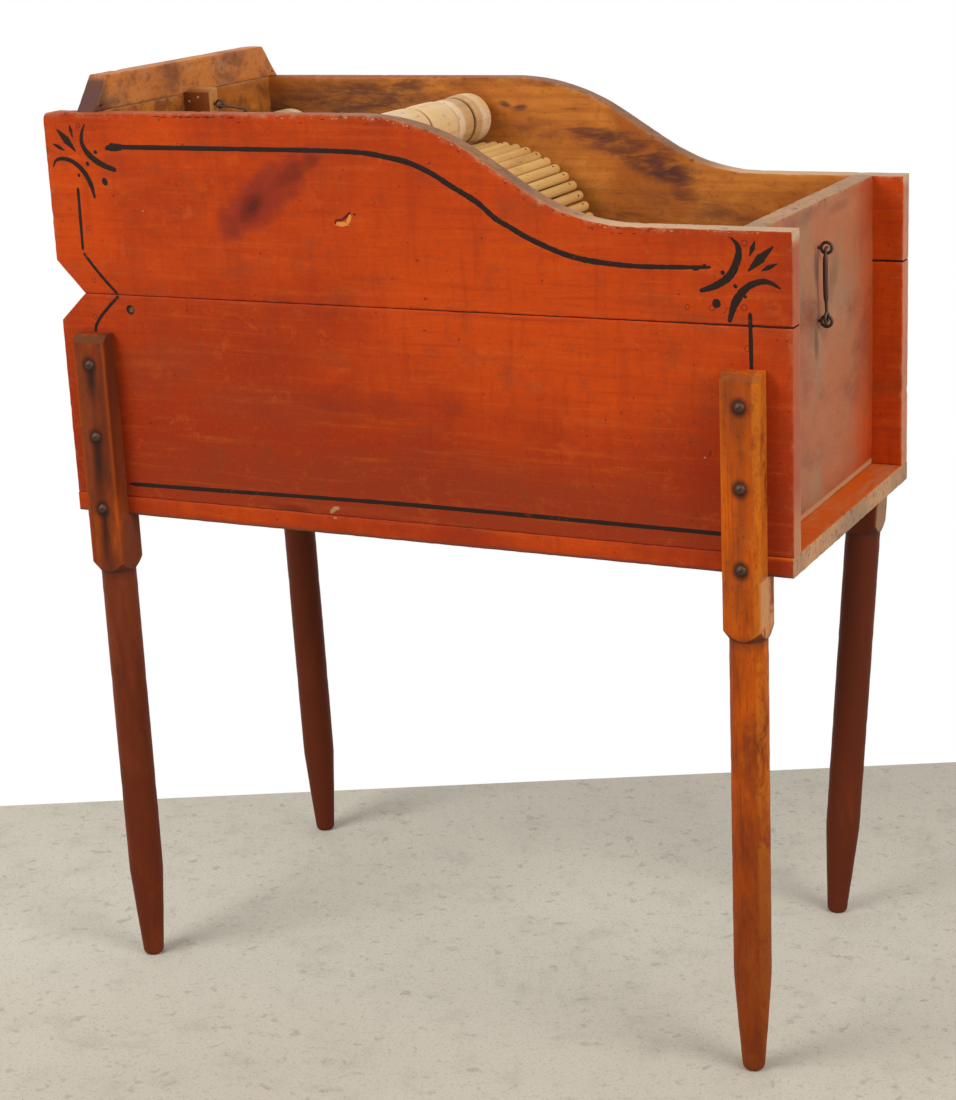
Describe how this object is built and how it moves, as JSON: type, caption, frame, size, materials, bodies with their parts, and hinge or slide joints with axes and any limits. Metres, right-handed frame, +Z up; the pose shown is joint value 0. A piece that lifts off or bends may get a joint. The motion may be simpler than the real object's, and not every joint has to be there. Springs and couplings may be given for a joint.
{
  "type": "wooden washing machine",
  "caption": "Painted plank tub on turned legs, with a cranked drum of wooden rods and ringed rollers on swinging arms that press the washing against it.",
  "frame": {"origin": "on the floor, under the middle of the whole object's box", "axes": "+X along the tub to its low end, +Y to the back with the crank, +Z up"},
  "size_m": [0.874, 0.567, 1.058],
  "materials": {
    "painted_wood": "worn satin paint",
    "bare_wood": "aged, unfinished",
    "leg_wood": "old varnish",
    "pale_wood": "scrubbed, unfinished",
    "iron": "dark, rusted"
  },
  "bodies": {
    "tub": {"front_upper_plank": "painted_wood", "front_lower_plank": "painted_wood", "back_upper_plank": "painted_wood", "back_lower_plank": "painted_wood", "bottom_board": "painted_wood", "low_end_board": "painted_wood", "high_end_board": "bare_wood", "splash_strip": "bare_wood", "latch_block": "bare_wood", "leg_front_high": "leg_wood", "leg_front_low": "leg_wood", "leg_back_high": "leg_wood", "leg_back_low": "leg_wood", "leg_screws": "iron", "pivot_rod": "iron", "latch_eye": "iron", "end_eyes": "iron"},
    "drum": {"drum_shaft": "iron", "crank_arm": "iron", "drum_front_disc": "pale_wood", "drum_middle_disc": "pale_wood", "drum_back_disc": "pale_wood", "drum_rods": "pale_wood", "crank_pin": "iron"},
    "grip": {"crank_grip": "pale_wood"},
    "top_arms": {"top_front_arm": "bare_wood", "top_back_arm": "bare_wood", "top_axle": "iron", "top_washers": "iron"},
    "top_roller": {"top_roller": "pale_wood"},
    "side_arms": {"side_front_arm": "bare_wood", "side_back_arm": "bare_wood", "side_axle": "iron", "side_washers": "iron"},
    "side_roller": {"side_roller": "pale_wood"},
    "latch_hook": {"latch_hook": "iron"},
    "end_hook": {"end_hook": "iron"}
  },
  "joints": [
    {"name": "drum_spin", "type": "hinge", "parent": "tub", "child": "drum", "pos_m": [-0.049, -0.05605, 0.8175], "axis": [0, 1, 0], "continuous": true},
    {"name": "grip_spin", "type": "hinge", "parent": "drum", "child": "grip", "pos_m": [-0.049, 0.22495, 0.6475], "axis": [0, 1, 0], "continuous": true},
    {"name": "top_arms_lift", "type": "hinge", "parent": "tub", "child": "top_arms", "pos_m": [-0.342, -0.05605, 0.801], "axis": [0, -1, 0], "range_deg": [0, 58]},
    {"name": "top_roller_spin", "type": "hinge", "parent": "top_arms", "child": "top_roller", "pos_m": [-0.08842, -0.05605, 0.97329], "axis": [0, 1, 0], "continuous": true},
    {"name": "side_arms_swing", "type": "hinge", "parent": "tub", "child": "side_arms", "pos_m": [-0.342, -0.05605, 0.801], "axis": [0, 1, 0], "range_deg": [0, 59]},
    {"name": "side_roller_spin", "type": "hinge", "parent": "side_arms", "child": "side_roller", "pos_m": [-0.32724, -0.05605, 0.95429], "axis": [0, 1, 0], "continuous": true},
    {"name": "latch_hook_swing", "type": "hinge", "parent": "tub", "child": "latch_hook", "pos_m": [-0.3267, -0.06355, 1.0064], "axis": [0, 1, 0], "range_deg": [-100, 16]},
    {"name": "end_hook_swing", "type": "hinge", "parent": "tub", "child": "end_hook", "pos_m": [0.41145, -0.07205, 0.79275], "axis": [1, 0, 0], "range_deg": [0, 155]}
  ],
  "couplings": [
    {"joint": "top_roller_spin", "follows": "drum_spin", "ratio": -4.3433}
  ]
}
